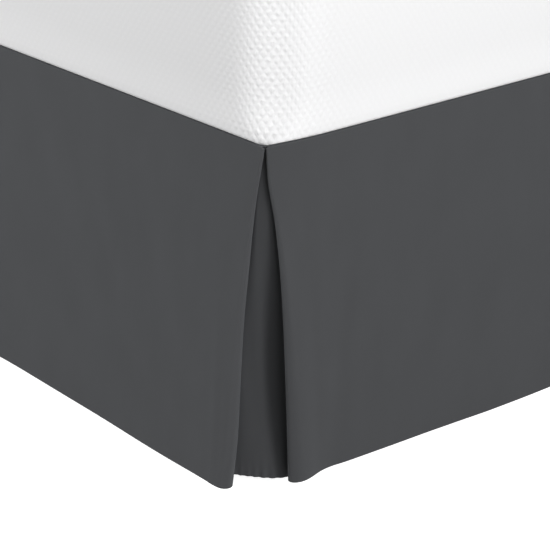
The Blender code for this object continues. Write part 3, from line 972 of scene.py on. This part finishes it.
class BEDSKIRT_OT_mattress(bpy.types.Operator):
    """Build the mattress: broad upright corners that narrow to its base, and a crowned top"""

    bl_idname = "bedskirt.mattress"
    bl_label = "Mattress"

    def execute(self, context):
        bed = context.scene.bed_below
        half_x, half_y = MATTRESS_HIGH.x, MATTRESS_HIGH.y
        height = MATTRESS_HIGH.z - MATTRESS_LOW.z
        base_edge, top_edge, base_corner, crown = 0.004, 0.036, 0.004, 0.008
        bulge, bulge_start, corner_growth = 0.0025, 0.05, 0.013
        profile = []
        for angle in np.radians(np.linspace(0, 90, 6)):
            profile.append((base_edge * (1 - math.cos(angle)), base_edge * (1 - math.sin(angle))))
        for up in np.linspace(base_edge, height - top_edge, 30)[1:]:
            swell = bulge * math.sin(math.pi * up / height)
            profile.append((up, (bulge - swell) * ease(up / bulge_start)))
        last_in = profile[-1][1]
        for angle in np.radians(np.linspace(0, 90, 11)[1:]):
            up = height - crown / 2 - (top_edge - crown / 2) * (1 - math.sin(angle))
            profile.append((up, last_in + (top_edge - last_in) * (1 - math.cos(angle))))
        sides = []
        for up, drawn_in in profile:
            growth = 1 - math.exp(-up / corner_growth)
            radius = mix(base_corner, bed.corner_radius, growth)
            plan = outline(half_x - drawn_in, half_y - drawn_in, radius, TUCK * (1 - growth))
            sides.append(ring_at(plan, MATTRESS_LOW.z + up))
        over = end_rings(sides[-1])[::-1]
        reach = np.abs(sides[-1][:, :2]).max(axis=0)
        for ring in over:
            across, lengthways = (np.abs(ring[:, :2]) / reach).T
            ring[:, 2] += crown * (1 - across**4) * (1 - lengthways**4)
        material = finish_named("white_diamond_knit", diamond_knit, bed)
        piece = block_object("mattress_cover", end_rings(sides[0]), sides, over, material)
        self.straighten_corners(piece.data, sides)
        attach(piece, "root")
        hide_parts("mattress")
        return {"FINISHED"}

    def straighten_corners(self, mesh, sides):
        """Light the sides by the outline at mid-height, so each corner's light runs straight
        down to the base, as on a cover that is pulled tight over it.
        """
        middle = sides[len(sides) // 2][:, :2]
        along = np.roll(middle, -1, axis=0) - np.roll(middle, 1, axis=0)
        outward = np.column_stack([along[:, 1], -along[:, 0]])
        outward /= np.linalg.norm(outward, axis=1, keepdims=True)
        normals = np.array([vertex.vector for vertex in mesh.vertex_normals])
        normals = normals.reshape(-1, len(middle), 3)
        for row in normals[len(CAP_SHARES) : len(CAP_SHARES) + len(sides)]:
            tilt = row[0, 2]
            row[:] = ring_at(outward, tilt, math.sqrt(1 - tilt**2))
        mesh.normals_split_custom_set_from_vertices(normals.reshape(-1, 3).tolist())


class BEDSKIRT_OT_box_spring(bpy.types.Operator):
    """Build the covered box spring, with a sewn border along its upper and lower edges"""

    bl_idname = "bedskirt.box_spring"
    bl_label = "Box Spring"

    def execute(self, context):
        bed = context.scene.bed_below
        height = BOX_HIGH.z - BOX_LOW.z
        edge, border, groove, corner_radius = 0.007, 0.022, 0.0016, 0.085
        profile = []
        for angle in np.radians((0, 30, 60, 90)):
            profile.append((edge * (1 - math.cos(angle)), edge * (1 - math.sin(angle))))
        for up in (0.012, border - 0.003, border, border + 0.003, 0.035, height / 2):
            profile.append((up, groove if up == border else 0.0))
        profile += [(height - up, drawn_in) for up, drawn_in in reversed(profile[:-1])]
        sides = []
        for up, drawn_in in profile:
            plan = outline(BOX_HIGH.x - drawn_in, BOX_HIGH.y - drawn_in, corner_radius)
            sides.append(ring_at(plan, BOX_LOW.z + up))
        under, over = end_rings(sides[0]), end_rings(sides[-1])[::-1]
        material = finish_named("pale_ribbed_ticking", plain_ticking, bed)
        piece = block_object("box_spring_cover", under, sides, over, material)
        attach(piece, "root")
        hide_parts("box_spring")
        return {"FINISHED"}


# ---------------------------------------------------------------- bed frame
class BEDSKIRT_OT_bed_frame(bpy.types.Operator):
    """Give the rails, cross bars, legs and glides of the bed frame their finishes"""

    bl_idname = "bedskirt.bed_frame"
    bl_label = "Bed Frame"

    def execute(self, context):
        bed = context.scene.bed_below
        steel = finish_named("black_powder_coat", powder_coat, bed)
        plastic = finish_named("black_moulded_plastic", moulded_plastic)
        for name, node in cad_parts.items():
            if name.startswith(("side_rail", "cross_bar", "leg")):
                node.material_slots[0].material = steel
            elif name.startswith("glide"):
                node.material_slots[0].material = plastic
        return {"FINISHED"}


# ---------------------------------------------------------------- stage
def soft_light(name, place, target, size, power):
    """A square softbox that faces its target."""
    data = bpy.data.lights.new(name, "AREA")
    data.shape = "SQUARE"
    data.size = size
    data.energy = power
    light = bpy.data.objects.new(name, data)
    light.location = place
    light.rotation_euler = (target - place).to_track_quat("-Z", "Y").to_euler()
    bpy.context.scene.collection.objects.link(light)


class BEDSKIRT_OT_stage(bpy.types.Operator):
    """Set the pale floor, the soft studio light and the camera"""

    bl_idname = "bedskirt.stage"
    bl_label = "Stage"

    def execute(self, context):
        scene = context.scene
        studio = scene.studio
        scene.view_settings.view_transform = "Standard"
        scene.view_settings.look = "None"
        self.lay_floor(studio)
        self.light_room(scene, studio)
        corner = Vector((SIDE_X, FOOT_Y, DECK_HIGH.z))
        for name, from_corner, size, power in (
            ("key_light", (3.2, 0.32, 1.7), 1.5, studio.key_power),
            ("front_light", (3.1, -1.13, 1.7), 1.5, studio.front_power),
            ("fill_light", (-1.6, -2.8, 1.4), 1.4, studio.fill_power),
        ):
            soft_light(name, corner + Vector(from_corner), corner, size, power)
        soft_light("top_light", Vector((0.0, 0.0, 4.5)), Vector(), 2.2, studio.top_power)
        self.set_camera(scene, studio, corner)
        return {"FINISHED"}

    def lay_floor(self, studio):
        """A plain floor that keeps its shadows faint by a glow of its own, which lights nothing."""
        half = 9.0
        mesh = bpy.data.meshes.new("studio_floor")
        corners = [(-half, -half, 0), (half, -half, 0), (half, half, 0), (-half, half, 0)]
        mesh.from_pydata(corners, [], [(0, 1, 2, 3)])
        finish = Finish("studio_floor_white")
        finish.set(Roughness=0.9, Specular_IOR_Level=0.1)
        finish.set(Base_Color=tuple(studio.floor_colour), Emission_Color=(1.0, 1.0, 1.0, 1.0))
        finish.set(Emission_Strength=studio.floor_glow)
        mesh.materials.append(finish.material)
        floor = bpy.data.objects.new("studio_floor", mesh)
        floor.visible_diffuse = False
        bpy.context.scene.collection.objects.link(floor)

    def light_room(self, scene, studio):
        """An even dim room that itself looks white."""
        world = bpy.data.worlds.new("studio_room")
        world.use_nodes = True
        nodes, links = world.node_tree.nodes, world.node_tree.links
        background = nodes["Background"]
        background.inputs["Color"].default_value = (1.0, 1.0, 1.0, 1.0)
        rays = nodes.new("ShaderNodeLightPath")
        strength = nodes.new("ShaderNodeMapRange")
        strength.inputs["To Min"].default_value = studio.room_light
        strength.inputs["To Max"].default_value = 1.0
        links.new(rays.outputs["Is Camera Ray"], strength.inputs["Value"])
        links.new(strength.outputs["Result"], background.inputs["Strength"])
        scene.world = world

    def set_camera(self, scene, studio, corner):
        """A long lens that looks down a little on the foot corner of the bed."""
        data = bpy.data.cameras.new("camera")
        data.lens = studio.lens
        data.sensor_width = 36.0
        camera = bpy.data.objects.new("camera", data)
        place = corner + Vector((1.5058, -1.3689, 0.6968))
        turn = Matrix.Rotation(math.radians(47.46), 4, "Z")
        tilt = Matrix.Rotation(math.radians(90 - 22.14), 4, "X")
        roll = Matrix.Rotation(math.radians(1.51), 4, "Z")
        camera.matrix_world = Matrix.Translation(place) @ turn @ tilt @ roll
        scene.collection.objects.link(camera)
        scene.camera = camera


# ---------------------------------------------------------------- sidebar
class BEDSKIRT_PT_sidebar(bpy.types.Panel):
    """Sizes and colours of the bed skirt, and a button for each of its pieces"""

    bl_idname = "BEDSKIRT_PT_sidebar"
    bl_label = "Bed Skirt"
    bl_space_type = "VIEW_3D"
    bl_region_type = "UI"
    bl_category = "Bed Skirt"

    def draw(self, context):
        layout = self.layout
        for group, operators in (
            (context.scene.bed_skirt, SKIRT_OPERATORS),
            (context.scene.bed_below, BED_OPERATORS),
            (context.scene.studio, (BEDSKIRT_OT_stage,)),
        ):
            box = layout.box()
            for name in group.__annotations__:
                box.prop(group, name)
            for operator in operators:
                box.operator(operator.bl_idname)


SKIRT_OPERATORS = (
    BEDSKIRT_OT_deck,
    BEDSKIRT_OT_foot_panel,
    BEDSKIRT_OT_side_panels,
    BEDSKIRT_OT_corner_pleats,
)
BED_OPERATORS = (BEDSKIRT_OT_bed_frame, BEDSKIRT_OT_box_spring, BEDSKIRT_OT_mattress)
CLASSES = (
    BEDSKIRT_SkirtSettings,
    BEDSKIRT_BedSettings,
    BEDSKIRT_StageSettings,
    *SKIRT_OPERATORS,
    *BED_OPERATORS,
    BEDSKIRT_OT_stage,
    BEDSKIRT_PT_sidebar,
)


def register():
    for each in CLASSES:
        bpy.utils.register_class(each)
    bpy.types.Scene.bed_skirt = bpy.props.PointerProperty(type=BEDSKIRT_SkirtSettings)
    bpy.types.Scene.bed_below = bpy.props.PointerProperty(type=BEDSKIRT_BedSettings)
    bpy.types.Scene.studio = bpy.props.PointerProperty(type=BEDSKIRT_StageSettings)


def unregister():
    del bpy.types.Scene.studio
    del bpy.types.Scene.bed_below
    del bpy.types.Scene.bed_skirt
    for each in reversed(CLASSES):
        bpy.utils.unregister_class(each)


def main():
    register()
    bpy.ops.bedskirt.stage()
    bpy.ops.bedskirt.bed_frame()
    bpy.ops.bedskirt.box_spring()
    bpy.ops.bedskirt.deck()
    bpy.ops.bedskirt.foot_panel()
    bpy.ops.bedskirt.side_panels()
    bpy.ops.bedskirt.corner_pleats()
    bpy.ops.bedskirt.mattress()


if __name__ == "__main__":
    main()
